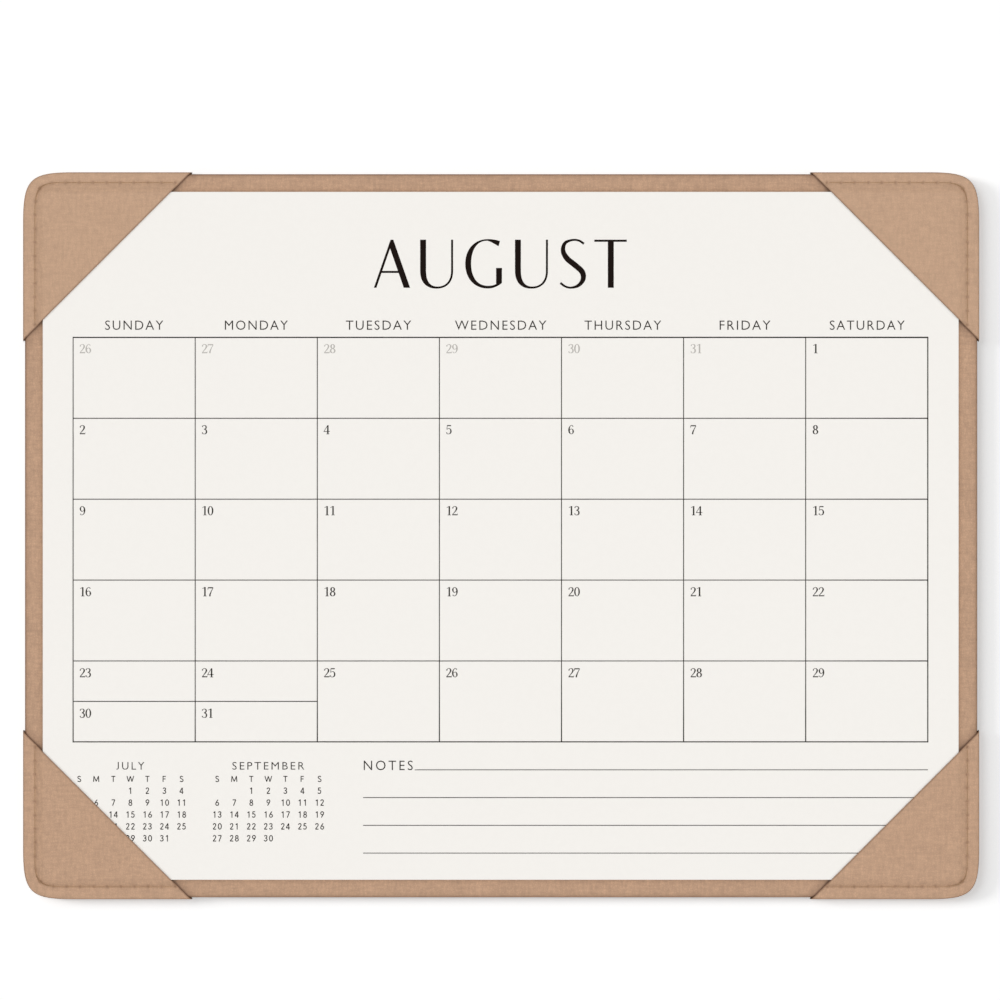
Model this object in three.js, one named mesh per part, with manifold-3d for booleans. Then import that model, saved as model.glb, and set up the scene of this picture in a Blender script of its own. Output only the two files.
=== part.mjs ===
// Desk calendar: a pad of printed month sheets on a leather-covered board,
// held at its corners by four sewn leather pockets.
// Millimetres, +Z up. It lies flat, the heading of the month towards +Y,
// with its origin under the middle of the board, on the plane it rests on.

import * as THREE from 'three';
import { mergeVertices } from 'three/addons/utils/BufferGeometryUtils.js';
import Module from 'manifold-3d';

// Driving dimensions: the pad of sheets
const sheetWidth = 406.4;
const sheetHeight = 304.8;
const padThickness = 1.6;

// Driving dimensions: the board and what covers it
const boardThickness = 2.0;
const coverLeather = 0.7;
const coverEdgeRadius = 1.2;
const coverTurnIn = 15;
const liningThickness = 0.6;
const liningSetBack = 3;
const boardClearance = 0.3;
const liningClearance = 0.3;

// Driving dimensions: the corner pockets
const pocketLeather = 0.7;
const pocketLeg = 74.5;
const pocketFlap = 14;
const pocketFoldRadius = 0.5;
const wallGap = 0.1;
const pocketSlack = 0.1;
const slopeRun = 2.2;
const padClearance = 0.3;

// Driving dimensions: the sewn seam, its inset measured from the pocket's outer edge
const seamInset = 5.3;
const seamLand = 0.35;
const seamEndGap = 2.5;
const grooveWidth = 1.3;
const grooveDepth = 0.45;
const stitchPitch = 6.15;
const stitchDip = 0.16;
const threadWidth = 0.45;
const threadHeight = 0.3;
const threadClearance = 0.02;
const threadProud = 0.1;

// Driving dimensions: the rounded corners of the board
const boardCornerRadius = 12.5;
const innerCornerRadius = 1;
const creaseCornerRadius = 0.5;
const cornerSoftness = 1.67;

// Driving dimensions: the printed month grid and the ruled lines for notes
const inkThickness = 0.06;
const columns = 7;
const rows = 5;
const splitColumns = 2;
const gridSideMargin = 13.85;
const headingRoom = 64.8;
const notesRoom = 60.8;
const gridLine = 0.24;
const headLine = 0.36;
const rulePitch = 12.3;
const firstRuleBelowGrid = 12.4;
const leastFootRoom = 8;
const rulesFromGridLeft = 128.5;
const noteLabelRoom = 22.9;
const ruleLine = 0.22;

// Facets, how near two points are one, and how far a cutting tool reaches past what it cuts
const cornerSteps = 8;
const foldSteps = 3;
const slopeSteps = 4;
const weldDistance = 1e-4;
const cutterReach = 5;

// Values that follow: the layers, counted up from the resting plane
const liningBottom = pocketLeather;
const turnInBottom = liningBottom + liningThickness;
const boardBottom = turnInBottom + coverLeather;
const boardTop = boardBottom + boardThickness;
const coverTop = boardTop + coverLeather;
const padTop = coverTop + padThickness;
const pocketUnderside = padTop + pocketSlack;
const rimTop = coverTop + pocketLeather;

// Values that follow: insets, counted inwards from the edge of the covered board
const pocketProud = pocketLeather + wallGap;
const stitchInset = seamInset - pocketProud;
const slopeStart = stitchInset + grooveWidth / 2 + seamLand;
const slopeEnd = slopeStart + slopeRun;
const margin = slopeEnd + padClearance;
const baseWidth = sheetWidth + 2 * margin;
const baseHeight = sheetHeight + 2 * margin;
const outerHalfX = baseWidth / 2 + pocketProud;
const outerHalfY = baseHeight / 2 + pocketProud;

const wasm = await Module();
wasm.setup();

// The colours of the parts, as seen on the finished product
function finish(color, roughness) {
  return new THREE.MeshStandardMaterial({ color, roughness, metalness: 0 });
}
const tanLeather = finish(0xbb997e, 0.6);
const pocketTan = finish(0xc09e83, 0.6);
const greyboard = finish(0x9a948c, 0.95);
const liningCloth = finish(0x8a7260, 0.95);
const tanThread = finish(0xa8896d, 0.7);
const creamPaper = finish(0xf5f1ec, 0.9);
const darkInk = finish(0x2a2422, 0.8);

const calendar = new THREE.Group();

function addPart(name, geometry, material) {
  geometry.computeVertexNormals();
  const part = new THREE.Mesh(geometry, material);
  part.name = name;
  calendar.add(part);
}

// One corner of an outline: it turns more softly than an arc, and its middle
// lies where an arc of the same radius would put it
const cornerHandle = (4 - 8 * (1 - Math.SQRT1_2) / cornerSoftness) / 3;

const cornerRadiusAt = (inset) => Math.max(boardCornerRadius - inset, innerCornerRadius);

function cornerCurve(signX, signY, inset, radius = cornerRadiusAt(inset)) {
  const reach = cornerSoftness * radius;
  const handle = reach * (1 - cornerHandle);
  const edgeX = baseWidth / 2 - inset;
  const edgeY = baseHeight / 2 - inset;
  const place = (backX, backY) => new THREE.Vector2(signX * (edgeX - backX), signY * (edgeY - backY));
  return new THREE.CubicBezierCurve(place(0, reach), place(0, handle), place(handle, 0), place(reach, 0));
}

// The corners in the order that runs anticlockwise, seen from above
const corners = [[1, 1], [-1, 1], [-1, -1], [1, -1]];

function outline(inset, radius) {
  return corners.flatMap(([signX, signY]) => {
    const points = cornerCurve(signX, signY, inset, radius).getPoints(cornerSteps);
    return signX * signY > 0 ? points : points.reverse();
  });
}

// A closed solid through rings of equally many points, with a flat fan at either end
function loft(rings) {
  const count = rings[0].length;
  const positions = rings.flat().flatMap((point) => point.toArray());
  const sumOf = (ring) => ring.reduce((sum, point) => sum.add(point), new THREE.Vector3());
  const centre = (ring) => sumOf(ring).divideScalar(count);
  positions.push(...centre(rings[0]).toArray(), ...centre(rings.at(-1)).toArray());
  const startCentre = rings.length * count;
  const endCentre = startCentre + 1;
  const lastRing = startCentre - count;
  const indices = [];
  for (let i = 0; i < count; i += 1) {
    const next = (i + 1) % count;
    indices.push(startCentre, next, i);
    indices.push(endCentre, lastRing + i, lastRing + next);
    for (let row = 0; row < lastRing; row += count) {
      indices.push(row + i, row + next, row + count + next);
      indices.push(row + i, row + count + next, row + count + i);
    }
  }
  const geometry = new THREE.BufferGeometry();
  geometry.setAttribute('position', new THREE.Float32BufferAttribute(positions, 3));
  geometry.setIndex(indices);
  return geometry;
}

// A closed solid from a section that runs round the board's outline, listed from the middle
// of its underside outwards and up to the middle of its top. Each point of the section is an
// inset and a height, and a corner radius where the corner isn't parallel to the board's
function aroundBoard(section) {
  return loft(section.map(([inset, z, radius]) => (
    outline(inset, radius).map((point) => new THREE.Vector3(point.x, point.y, z)))));
}

function plate(width, height, bottom, top) {
  const ring = (z) => corners.map(([x, y]) => new THREE.Vector3(x * width / 2, y * height / 2, z));
  return loft([ring(bottom), ring(top)]);
}

// A quarter round in a section, from one angle to another in quarter turns
function fold(inset, z, radius, fromQuarter, toQuarter) {
  return Array.from({ length: foldSteps + 1 }, (_, i) => {
    const angle = (fromQuarter + (toQuarter - fromQuarter) * i / foldSteps) * Math.PI / 2;
    return [inset - radius * Math.cos(angle), z + radius * Math.sin(angle)];
  });
}

// The leather's easy rise from the seam to the top of the pad, in a section. It starts
// parallel to the board's round corner, and ends in a crease over the pad's square one
function rise(fromInset, toInset, fromZ, toZ) {
  const { lerp, smoothstep } = THREE.MathUtils;
  return Array.from({ length: slopeSteps + 1 }, (_, i) => {
    const share = i / slopeSteps;
    return [
      lerp(fromInset, toInset, share),
      lerp(fromZ, toZ, smoothstep(share, 0, 1)),
      lerp(cornerRadiusAt(fromInset), creaseCornerRadius, share),
    ];
  });
}

// Joining and cutting closed meshes
function toSolid(geometry) {
  const bare = geometry.clone();
  bare.deleteAttribute('normal');
  bare.deleteAttribute('uv');
  const merged = mergeVertices(bare, weldDistance);
  return new wasm.Manifold(new wasm.Mesh({
    numProp: 3,
    vertProperties: new Float32Array(merged.attributes.position.array),
    triVerts: new Uint32Array(merged.index.array),
  }));
}

function toGeometry(solid) {
  const mesh = solid.getMesh();
  const geometry = new THREE.BufferGeometry();
  geometry.setAttribute('position', new THREE.BufferAttribute(mesh.vertProperties, mesh.numProp));
  geometry.setIndex(new THREE.BufferAttribute(mesh.triVerts, 1));
  return geometry;
}

function extrude(shape, bottom, height) {
  return new THREE.ExtrudeGeometry(shape, { depth: height, bevelEnabled: false }).translate(0, 0, bottom);
}

// The stiff board, with room for the cover to fold round its edge
const boardInset = coverLeather + boardClearance;
addPart('core_board', aroundBoard([[boardInset, boardBottom], [boardInset, boardTop]]), greyboard);

// The cover: one piece of leather over the board's face, round its edge and turned in below
addPart('leather_cover', aroundBoard([
  [coverLeather, boardTop],
  [coverLeather, boardBottom],
  [coverTurnIn, boardBottom],
  [coverTurnIn, turnInBottom],
  ...fold(coverEdgeRadius, turnInBottom + coverEdgeRadius, coverEdgeRadius, -1, 0),
  ...fold(coverEdgeRadius, coverTop - coverEdgeRadius, coverEdgeRadius, 0, 1),
]), tanLeather);

// The lining: one sheet over the turned-in edges, dipping inside them up to the board
const liningDipTop = coverTurnIn + liningClearance;
const liningStep = boardBottom - turnInBottom;
addPart('back_lining', aroundBoard([
  [liningDipTop + 2 * liningStep, boardBottom - liningThickness],
  [liningDipTop + liningStep, liningBottom],
  [liningSetBack, liningBottom],
  [liningSetBack, turnInBottom],
  [liningDipTop, turnInBottom],
  [liningDipTop + liningStep, boardBottom],
]), liningCloth);

// The pad: its sheets are one block
addPart('calendar_pages', plate(sheetWidth, sheetHeight, coverTop, padTop), creamPaper);

// The corner pockets: leather over the pad's corner, sewn down beside it,
// folded round the board's edge and turned in under the lining
const slopeAngle = Math.atan2(pocketUnderside - coverTop, slopeRun);
const slopeShift = pocketLeather * Math.tan(slopeAngle / 2);
const outerFoldRadius = pocketFoldRadius + pocketLeather;
const foldInset = pocketFoldRadius - wallGap;
const pocketTop = pocketUnderside + pocketLeather;
const allRound = toSolid(aroundBoard([
  ...rise(slopeStart, slopeEnd, coverTop, pocketUnderside).reverse(),
  ...fold(foldInset, coverTop - pocketFoldRadius, pocketFoldRadius, 1, 0),
  ...fold(foldInset, pocketLeather + pocketFoldRadius, pocketFoldRadius, 0, -1),
  [pocketFlap, pocketLeather],
  [pocketFlap, 0],
  ...fold(foldInset, outerFoldRadius, outerFoldRadius, -1, 0),
  ...fold(foldInset, rimTop - outerFoldRadius, outerFoldRadius, 0, 1),
  ...rise(slopeStart - slopeShift, slopeEnd - slopeShift, rimTop, pocketTop),
]));

// The groove that the tight stitches draw into the leather, above and below
function grooveRing(bottom, height) {
  const shape = new THREE.Shape(outline(stitchInset - grooveWidth / 2));
  shape.holes.push(new THREE.Path(outline(stitchInset + grooveWidth / 2)));
  return toSolid(extrude(shape, bottom, height));
}
const grooved = allRound
  .subtract(grooveRing(rimTop - grooveDepth, grooveDepth + cutterReach))
  .subtract(grooveRing(grooveDepth - cutterReach, cutterReach));

// The triangle of a corner that its pocket covers, cut off at 45 degrees
function cornerTriangle(signX, signY) {
  const outX = signX * (outerHalfX + cutterReach);
  const outY = signY * (outerHalfY + cutterReach);
  const leg = pocketLeg + 2 * cutterReach;
  const points = [[outX, outY], [outX - signX * leg, outY], [outX, outY - signY * leg]];
  const shape = new THREE.Shape(points.map(([x, y]) => new THREE.Vector2(x, y)));
  return toSolid(extrude(shape, -cutterReach, pocketTop + 2 * cutterReach));
}

// A thread along a pocket's seam: straight, round the corner and straight again,
// lying on the leather for most of each stitch and dipping into it between two
function seamThread(signX, signY, crest, dip) {
  const curve = cornerCurve(signX, signY, stitchInset);
  const straightEnd = pocketLeg - seamInset - seamEndGap;
  const path = new THREE.Path();
  path.moveTo(curve.v0.x, signY * (outerHalfY - straightEnd));
  path.lineTo(curve.v0.x, curve.v0.y);
  path.bezierCurveTo(curve.v1.x, curve.v1.y, curve.v2.x, curve.v2.y, curve.v3.x, curve.v3.y);
  path.lineTo(signX * (outerHalfX - straightEnd), curve.v3.y);
  const stitches = Math.round(path.getLength() / stitchPitch);
  const heights = [[0, dip], [stitchDip, crest], [1 - stitchDip, crest]];
  const section = (along, z) => {
    const middle = path.getPointAt(along);
    const heading = path.getTangentAt(along);
    const side = new THREE.Vector3(-heading.y, heading.x, 0).multiplyScalar(threadWidth / 2);
    const up = new THREE.Vector3(0, 0, threadHeight / 2);
    const at = new THREE.Vector3(middle.x, middle.y, z);
    return [at.clone().add(side), at.clone().add(up), at.clone().sub(side), at.clone().sub(up)];
  };
  const sections = [];
  for (let stitch = 0; stitch < stitches; stitch += 1) {
    heights.forEach(([share, z]) => sections.push(section((stitch + share) / stitches, z)));
  }
  sections.push(section(1, dip));
  return loft(sections);
}

const needleCrest = rimTop + threadProud - threadHeight / 2;
const needleDip = rimTop - grooveDepth + threadClearance + threadHeight / 2;
const bobbinCrest = threadClearance + threadHeight / 2;
const bobbinDip = grooveDepth - threadClearance - threadHeight / 2;

corners.forEach(([signX, signY]) => {
  const place = `${signY > 0 ? 'upper' : 'lower'}_${signX > 0 ? 'right' : 'left'}`;
  const pocket = grooved.intersect(cornerTriangle(signX, signY));
  addPart(`corner_pocket_${place}`, toGeometry(pocket), pocketTan);
  addPart(`needle_thread_${place}`, seamThread(signX, signY, needleCrest, needleDip), tanThread);
  addPart(`bobbin_thread_${place}`, seamThread(signX, signY, bobbinCrest, bobbinDip), tanThread);
});

// The printed month grid: one net of ink lines, its first columns split in the last row.
// It fills the sheet between the room for the heading above and for the notes below
const gridRight = sheetWidth / 2 - gridSideMargin;
const gridLeft = -gridRight;
const gridTop = sheetHeight / 2 - headingRoom;
const gridBottom = notesRoom - sheetHeight / 2;
const columnWidth = (gridRight - gridLeft) / columns;
const rowHeight = (gridTop - gridBottom) / rows;

function rectangle(left, right, bottom, top) {
  const points = [[left, bottom], [right, bottom], [right, top], [left, top]];
  return points.map(([x, y]) => new THREE.Vector2(x, y));
}

function slab(left, right, bottom, top, level, height) {
  return toSolid(extrude(new THREE.Shape(rectangle(left, right, bottom, top)), level, height));
}

let net = slab(
  gridLeft - gridLine / 2,
  gridRight + gridLine / 2,
  gridBottom - gridLine / 2,
  gridTop + headLine / 2,
  padTop,
  inkThickness,
);
for (let row = 0; row < rows; row += 1) {
  for (let column = 0; column < columns; column += 1) {
    const halves = row === rows - 1 && column < splitColumns ? 2 : 1;
    const cellHeight = rowHeight / halves;
    for (let half = 0; half < halves; half += 1) {
      const above = row + half === 0 ? headLine : gridLine;
      const cellTop = gridTop - row * rowHeight - half * cellHeight;
      net = net.subtract(slab(
        gridLeft + column * columnWidth + gridLine / 2,
        gridLeft + (column + 1) * columnWidth - gridLine / 2,
        cellTop - cellHeight + gridLine / 2,
        cellTop - above / 2,
        padTop - cutterReach,
        2 * cutterReach,
      ));
    }
  }
}
addPart('month_grid', toGeometry(net), darkInk);

// The ruled lines for notes, as many as fit, the first one beginning after the room for its label
const ruleCount = Math.floor((notesRoom - firstRuleBelowGrid - leastFootRoom) / rulePitch) + 1;
for (let i = 0; i < ruleCount; i += 1) {
  const start = gridLeft + rulesFromGridLeft + (i === 0 ? noteLabelRoom : 0);
  const level = gridBottom - firstRuleBelowGrid - i * rulePitch;
  const line = rectangle(start, gridRight, level - ruleLine / 2, level + ruleLine / 2);
  addPart(`note_rule_${i + 1}`, extrude(new THREE.Shape(line), padTop, inkThickness), darkInk);
}

export default calendar;
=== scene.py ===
"""The looks of a leather desk calendar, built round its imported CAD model."""

import math

import bmesh
import bpy
import numpy as np
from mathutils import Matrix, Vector, noise


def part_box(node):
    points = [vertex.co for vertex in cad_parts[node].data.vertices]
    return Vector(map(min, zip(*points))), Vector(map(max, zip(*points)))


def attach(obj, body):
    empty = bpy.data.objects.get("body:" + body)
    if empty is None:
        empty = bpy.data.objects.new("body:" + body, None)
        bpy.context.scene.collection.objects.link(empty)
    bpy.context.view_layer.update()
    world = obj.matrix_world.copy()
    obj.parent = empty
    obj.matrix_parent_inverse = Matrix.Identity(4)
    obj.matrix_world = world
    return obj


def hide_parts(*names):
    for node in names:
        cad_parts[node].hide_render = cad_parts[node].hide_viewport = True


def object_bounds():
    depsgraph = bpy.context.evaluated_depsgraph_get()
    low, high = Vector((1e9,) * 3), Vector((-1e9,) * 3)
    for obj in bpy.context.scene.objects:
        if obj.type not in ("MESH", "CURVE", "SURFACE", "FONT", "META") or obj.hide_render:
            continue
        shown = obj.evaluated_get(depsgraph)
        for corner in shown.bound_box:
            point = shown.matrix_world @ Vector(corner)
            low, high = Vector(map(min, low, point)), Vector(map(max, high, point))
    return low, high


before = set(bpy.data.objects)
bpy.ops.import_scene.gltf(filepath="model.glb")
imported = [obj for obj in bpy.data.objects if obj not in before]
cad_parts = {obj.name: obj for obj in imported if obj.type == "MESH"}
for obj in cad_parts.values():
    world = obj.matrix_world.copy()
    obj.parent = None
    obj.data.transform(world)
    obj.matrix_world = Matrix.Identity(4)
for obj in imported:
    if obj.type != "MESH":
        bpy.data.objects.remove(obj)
cad_low, cad_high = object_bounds()

MM = 0.001

# Sizes and levels read from the frame
pages_low, pages_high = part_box("calendar_pages")
cover_low, cover_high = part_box("leather_cover")
pocket_low, pocket_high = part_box("corner_pocket_upper_right")
grid_low, grid_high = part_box("month_grid")
LINING_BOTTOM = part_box("back_lining")[0].z
THREAD_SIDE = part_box("needle_thread_upper_right")[1].x
FIRST_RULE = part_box("note_rule_1")[0].y

HALF_X = cover_high.x
HALF_Y = cover_high.y
LEATHER = LINING_BOTTOM - cad_low.z
COVER_TOP = cover_high.z
COVER_BOTTOM = cover_low.z
RIM = COVER_TOP + LEATHER
PAD_TOP = pages_high.z
POCKET_TOP = pocket_high.z
PROUD = pocket_high.x - HALF_X
POCKET_LEG = pocket_high.x - pocket_low.x
MARGIN = HALF_X - pages_high.x

# Sizes that the part's source also has
THREAD_WIDTH = 0.45 * MM
STITCH_PITCH = 6.15 * MM
SEAM_END_GAP = 2.5 * MM
CORNER_RADIUS = 12.5 * MM
CORNER_SOFTNESS = 1.67
INNER_CORNER_RADIUS = 1 * MM
CREASE_CORNER_RADIUS = 0.5 * MM
COVER_EDGE_RADIUS = 1.2 * MM
COVER_TURN_IN = 15 * MM
POCKET_FLAP = 14 * MM
POCKET_FOLD_RADIUS = 0.5 * MM
PAD_CLEARANCE = 0.3 * MM
SLOPE_RUN = 2.2 * MM
COLUMNS = 7
ROWS = 5

SEAM_INSET = HALF_X - (THREAD_SIDE - THREAD_WIDTH / 2)
WALL_GAP = PROUD - LEATHER
COLUMN_WIDTH = (grid_high.x - grid_low.x) / COLUMNS
ROW_HEIGHT = (grid_high.y - grid_low.y) / ROWS

# How far the mouth of every pocket is from the middle of the board
MOUTH = (HALF_X + HALF_Y + 2 * PROUD - POCKET_LEG) / math.sqrt(2)

CORNERS = {
    "upper_right": (1, 1),
    "upper_left": (-1, 1),
    "lower_left": (-1, -1),
    "lower_right": (1, -1),
}


# Materials

def linear(code):
    """An sRGB hex colour as the linear RGBA that nodes take."""
    channels = [int(code[i:i + 2], 16) / 255 for i in (1, 3, 5)]
    return [c / 12.92 if c <= 0.04045 else ((c + 0.055) / 1.055) ** 2.4 for c in channels] + [1]


def add(tree, kind, inputs=None, **settings):
    """A node with its settings, and its inputs set to values or linked to other nodes' sockets."""
    made = tree.nodes.new(kind)
    for name, value in settings.items():
        setattr(made, name, value)
    for name, value in (inputs or {}).items():
        socket = made.inputs[name]
        if isinstance(value, bpy.types.NodeSocket):
            tree.links.new(value, socket)
        else:
            socket.default_value = value
    return made


def new_material(name, roughness, **constants):
    """An empty material with its shader; constants go on the shader's own sockets."""
    material = bpy.data.materials.new(name)
    material.use_nodes = True
    tree = material.node_tree
    tree.nodes.clear()
    shader = add(tree, "ShaderNodeBsdfPrincipled", {"Roughness": roughness, **constants})
    add(tree, "ShaderNodeOutputMaterial", {"Surface": shader.outputs[0]})
    return material, tree, shader


def pattern(tree, size, detail=2.0, stretch=(1, 1, 1), seed=0.0):
    """Noise from 0 to 1 whose patches are about size across, in metres."""
    place = add(tree, "ShaderNodeTexCoord").outputs["Object"]
    mapping = add(tree, "ShaderNodeMapping", {
        "Vector": place,
        "Location": (seed, seed * 0.7, seed * 0.3),
        "Scale": stretch,
    })
    return add(tree, "ShaderNodeTexNoise", {
        "Vector": mapping.outputs[0],
        "Scale": 1 / size,
        "Detail": detail,
        "Roughness": 0.55,
    }).outputs["Fac"]


def blended(tree, factor, low, high, a, b, most=1.0):
    """From colour a towards b as the factor rises from low to high, and no further than most.
    Sockets 0, 6 and 7 are the Mix node's factor and its colours."""
    share = add(tree, "ShaderNodeMapRange", {
        "Value": factor,
        "From Min": low,
        "From Max": high,
        "To Max": most,
    })
    return add(tree, "ShaderNodeMix", {0: share.outputs[0], 6: a, 7: b}, data_type="RGBA").outputs[2]


def toned(tree, colour, factor, low, high, strength):
    """The colour, darker by a share of itself where the factor is low and lighter where it is high."""
    tone = add(tree, "ShaderNodeMapRange", {
        "Value": factor,
        "From Min": low,
        "From Max": high,
        "To Min": 1 - strength,
        "To Max": 1 + strength,
    }).outputs[0]
    grey = add(tree, "ShaderNodeCombineColor", {"Red": tone, "Green": tone, "Blue": tone})
    inputs = {0: 1.0, 6: colour, 7: grey.outputs[0]}
    return add(tree, "ShaderNodeMix", inputs, data_type="RGBA", blend_type="MULTIPLY").outputs[2]


def grained_leather(name, body, cloudy, speckle_and_grain_shade, burnish_and_shade, painted_mouth_shade=False):
    """Pigmented cowhide with a fine printed grain: matt, faintly cloudy, finely speckled by the grain,
    with painted shade in the grain's valleys and painted light on its pebbles. It is burnished darker
    where it is cut, and darker on the upper turn of its folds and where the thread pulls it in, with
    burnish and painted shade together. It can also have painted shade right beside the mouth of each
    corner pocket, where the pocket's edge shades the cover. The grain's pebbles and streaks are about
    half as wide on such a hide, and are drawn coarser so that they show."""
    material, tree, shader = new_material(name, 0.6)
    place = add(tree, "ShaderNodeTexCoord").outputs["Object"]
    pores = add(tree, "ShaderNodeTexVoronoi", {
        "Vector": place,
        "Scale": 1 / (0.95 * MM),
    }, feature="DISTANCE_TO_EDGE").outputs["Distance"]
    pebble = add(tree, "ShaderNodeMapRange", {"Value": pores, "From Max": 0.3}).outputs[0]
    colour = toned(tree, linear(body), pattern(tree, 11 * MM, 3.0), 0.25, 0.75, cloudy)
    for stretch, seed in (((1, 0.25, 1), 3.1), ((0.25, 1, 1), 7.7)):
        streaks = pattern(tree, 1.2 * MM, 2.0, stretch, seed)
        colour = toned(tree, colour, streaks, 0.25, 0.75, speckle_and_grain_shade)
    # Painted shade in the grain's valleys and painted light on its pebbles; the streaks above are the hide's
    # own random tone.
    colour = toned(tree, colour, pebble, 0, 1, speckle_and_grain_shade * 0.7)
    edge = add(tree, "ShaderNodeAttribute", attribute_name="burnish_and_shade").outputs["Fac"]
    colour = blended(tree, edge, 0, 1, colour, linear(burnish_and_shade))
    # Painted shade on the cover beside each pocket's mouth, where the pocket's edge shades it: a dark line
    # right at the mouth and a softer band out to 4.5 mm.
    if painted_mouth_shade:
        size = add(tree, "ShaderNodeVectorMath", {0: place}, operation="ABSOLUTE")
        diagonal = (1 / math.sqrt(2), 1 / math.sqrt(2), 0)
        reach = add(tree, "ShaderNodeVectorMath", {0: size.outputs[0], 1: diagonal}, operation="DOT_PRODUCT")
        for distance, dark in ((4.5 * MM, 0.35), (1.0 * MM, 0.8)):
            colour = blended(tree, reach.outputs["Value"], MOUTH - distance, MOUTH,
                             colour, linear(burnish_and_shade), most=dark)
    tree.links.new(colour, shader.inputs["Base Color"])
    relief = add(tree, "ShaderNodeBump", {"Strength": 0.4, "Distance": 0.08 * MM, "Height": pebble})
    creases = add(tree, "ShaderNodeBump", {
        "Strength": 0.3,
        "Distance": 0.2 * MM,
        "Height": pattern(tree, 2.6 * MM, 3.0, seed=1.9),
        "Normal": relief.outputs[0],
    })
    tree.links.new(creases.outputs[0], shader.inputs["Normal"])
    return material


def cut_leather():
    """The raw cut edge of the hide: fibrous, and darkened with edge dye."""
    material, tree, shader = new_material("cut_leather_edge", 0.85)
    fibre = pattern(tree, 0.3 * MM, 3.0, stretch=(1, 1, 0.3))
    colour = blended(tree, fibre, 0.3, 0.7, linear("#6E4D38"), linear("#8A654B"))
    tree.links.new(colour, shader.inputs["Base Color"])
    return material


def uncoated_paper():
    """Uncoated cream stock, calendered smooth: flat, matt, with the faintest fibre cloud."""
    material, tree, shader = new_material("uncoated_paper", 0.9, **{"Specular IOR Level": 0.3})
    cloud = pattern(tree, 3 * MM, 4.0)
    colour = blended(tree, cloud, 0.3, 0.7, linear("#F4F1EC"), linear("#F5F2ED"))
    tree.links.new(colour, shader.inputs["Base Color"])
    fibres = add(tree, "ShaderNodeBump", {
        "Strength": 0.15,
        "Distance": 0.02 * MM,
        "Height": pattern(tree, 0.25 * MM, 3.0, stretch=(1, 0.4, 1)),
    })
    tree.links.new(fibres.outputs[0], shader.inputs["Normal"])
    return material


def guillotined_paper():
    """The cut edge of the same stock: each sheet's edge a little darker or lighter than the next."""
    material, tree, shader = new_material("guillotined_paper", 0.95, **{"Specular IOR Level": 0.2})
    layers = pattern(tree, 0.13 * MM, 1.0, stretch=(0.02, 0.02, 1))
    colour = blended(tree, layers, 0.3, 0.7, linear("#DDD6CC"), linear("#F3EFE9"))
    tree.links.new(colour, shader.inputs["Base Color"])
    return material


def printing_ink(name, code):
    """Offset ink soaked into uncoated paper: dead matt, with a hair of mottle from the fibres."""
    material, tree, shader = new_material(name, 0.9, **{"Specular IOR Level": 0.05})
    colour = toned(tree, linear(code), pattern(tree, 0.4 * MM, 2.0), 0.3, 0.7, 0.06)
    tree.links.new(colour, shader.inputs["Base Color"])
    return material


def bonded_thread():
    """Bonded polyester sewing thread, dyed to the leather: plied, waxed down to a dull shine."""
    material, tree, shader = new_material("bonded_thread", 0.6, **{"Specular IOR Level": 0.25})
    fibre = pattern(tree, 0.5 * MM, 2.0)
    colour = blended(tree, fibre, 0.3, 0.7, linear("#9C7A58"), linear("#B5936F"))
    tree.links.new(colour, shader.inputs["Base Color"])
    return material


def sueded_lining():
    """Microfibre lining, sueded: a short nap that goes lighter and darker in soft patches."""
    material, tree, shader = new_material("sueded_lining", 0.95, **{
        "Specular IOR Level": 0.1,
        "Sheen Weight": 0.35,
        "Sheen Roughness": 0.6,
    })
    patches = pattern(tree, 14 * MM, 4.0)
    nap = pattern(tree, 0.5 * MM, 3.0, stretch=(1, 0.5, 1), seed=2.0)
    colour = blended(tree, patches, 0.3, 0.7, linear("#8C7159"), linear("#9C8068"))
    tree.links.new(toned(tree, colour, nap, 0.3, 0.7, 0.1), shader.inputs["Base Color"])
    fluff = add(tree, "ShaderNodeBump", {"Strength": 0.5, "Distance": 0.1 * MM, "Height": nap})
    tree.links.new(fluff.outputs[0], shader.inputs["Normal"])
    return material


def raw_greyboard():
    """Pressed greyboard from waste paper: dull grey with darker flecks."""
    material, tree, shader = new_material("raw_greyboard", 0.95)
    flecks = pattern(tree, 0.8 * MM, 4.0)
    colour = blended(tree, flecks, 0.35, 0.7, linear("#8A847B"), linear("#A39D94"))
    tree.links.new(colour, shader.inputs["Base Color"])
    return material


# The lower pockets' leather is a little darker and more speckled than the upper pockets'
pocket_leathers = {
    1: grained_leather("grained_leather_upper_pockets", "#BF9B7E",
                       cloudy=0.02, speckle_and_grain_shade=0.065, burnish_and_shade="#7A583F"),
    -1: grained_leather("grained_leather_lower_pockets", "#BC977A",
                        cloudy=0.02, speckle_and_grain_shade=0.085, burnish_and_shade="#785439"),
}
# The cover's leather also carries the painted shade beside the pockets' mouths.
cover_leather = grained_leather("grained_leather_cover", "#BA9578",
                                cloudy=0.05, speckle_and_grain_shade=0.095, burnish_and_shade="#6B4A34", painted_mouth_shade=True)
raw_edge = cut_leather()
paper = uncoated_paper()
paper_edge = guillotined_paper()
black_ink = printing_ink("printing_ink_black", "#1C1411")
line_ink = printing_ink("printing_ink_lines", "#1F1915")
text_ink = printing_ink("printing_ink_text", "#2A2521")
pale_ink = printing_ink("printing_ink_pale", "#B9B5B0")
thread = bonded_thread()
lining = sueded_lining()
greyboard = raw_greyboard()


# Shared helpers for pieces

def new_piece(name, mesh, materials):
    piece = bpy.data.objects.new(name, mesh)
    bpy.context.scene.collection.objects.link(piece)
    piece.data.materials.clear()
    for material in materials:
        piece.data.materials.append(material)
    return piece


def dress(node, material):
    """A CAD node that stays gets its material."""
    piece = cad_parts[node]
    piece.data.materials.clear()
    piece.data.materials.append(material)


def smooth(mesh, angle=35):
    mesh.shade_smooth()
    mesh.set_sharp_from_angle(angle=math.radians(angle))


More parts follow.
